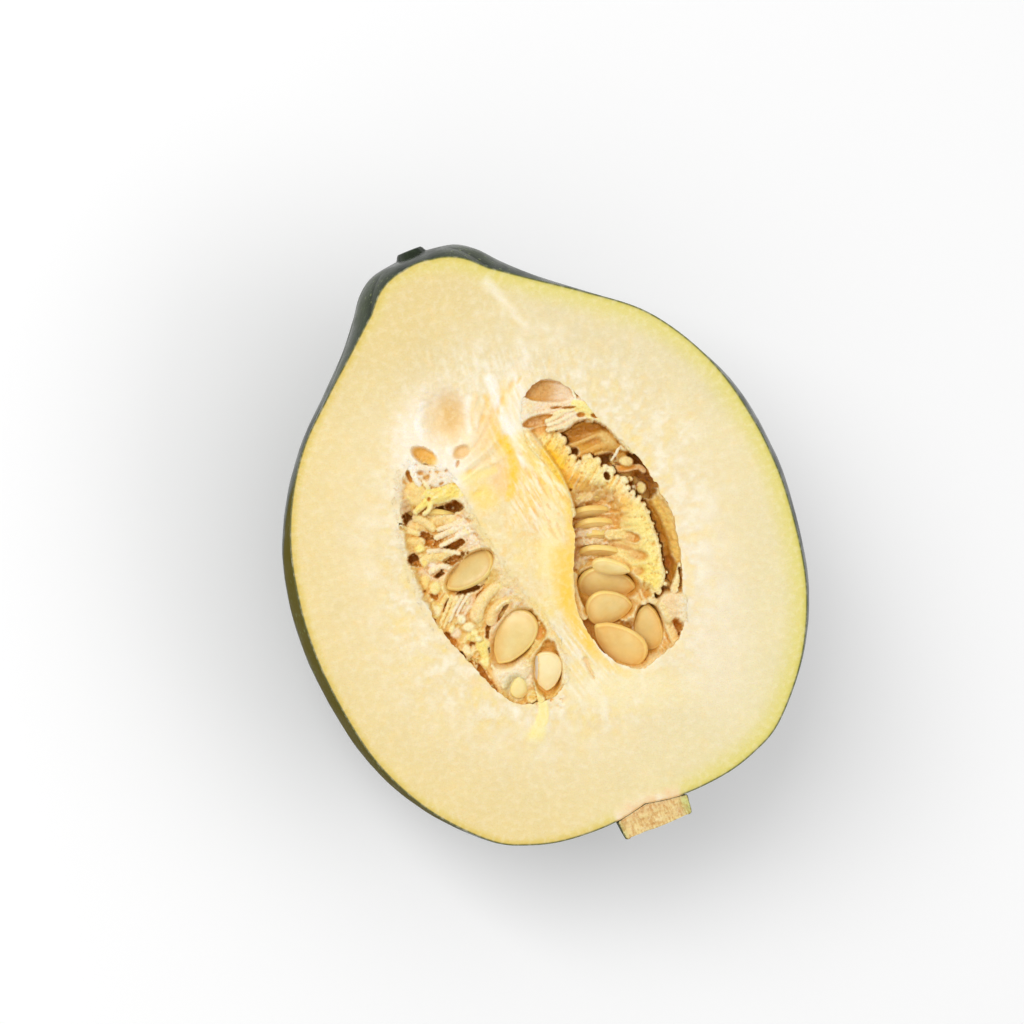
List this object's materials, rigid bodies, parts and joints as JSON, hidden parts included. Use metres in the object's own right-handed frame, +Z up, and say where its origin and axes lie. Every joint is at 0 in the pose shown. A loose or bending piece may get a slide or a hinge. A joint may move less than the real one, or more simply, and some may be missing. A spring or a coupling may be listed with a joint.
{
  "type": "acorn squash half",
  "caption": "Acorn squash cut in half lengthwise, lying on its ribbed dark green back with the pale yellow cut face up, seed chambers full of stringy pulp and seeds, and a cut stem stub.",
  "frame": {"origin": "on the ground under the middle of the half's box, as it lies on its back", "axes": "+Z up; the fruit's length along X, its stem end towards +X and its blossom tip towards -X; the cut face looks up and leans 18 degrees towards -Y"},
  "size_m": [0.1574, 0.1268, 0.0845],
  "materials": {
    "flesh_and_rind": "satin",
    "stem": "matte",
    "pulp": "satin",
    "seed_coat": "satin"
  },
  "bodies": {
    "root": {"squash_half": "flesh_and_rind", "stem_stub": "stem", "pulp_left": "pulp", "pulp_right": "pulp", "seed_left_01": "seed_coat", "seed_left_02": "seed_coat", "seed_left_03": "seed_coat", "seed_left_04": "seed_coat", "seed_left_05": "seed_coat", "seed_left_06": "seed_coat", "seed_left_07": "seed_coat", "seed_left_08": "seed_coat", "seed_left_09": "seed_coat", "seed_left_10": "seed_coat", "seed_left_11": "seed_coat", "seed_left_12": "seed_coat", "seed_right_01": "seed_coat", "seed_right_02": "seed_coat", "seed_right_03": "seed_coat", "seed_right_04": "seed_coat", "seed_right_05": "seed_coat", "seed_right_06": "seed_coat", "seed_right_07": "seed_coat", "seed_right_08": "seed_coat", "seed_right_09": "seed_coat", "seed_right_10": "seed_coat", "seed_right_11": "seed_coat", "seed_right_12": "seed_coat", "seed_right_13": "seed_coat"}
  },
  "joints": []
}
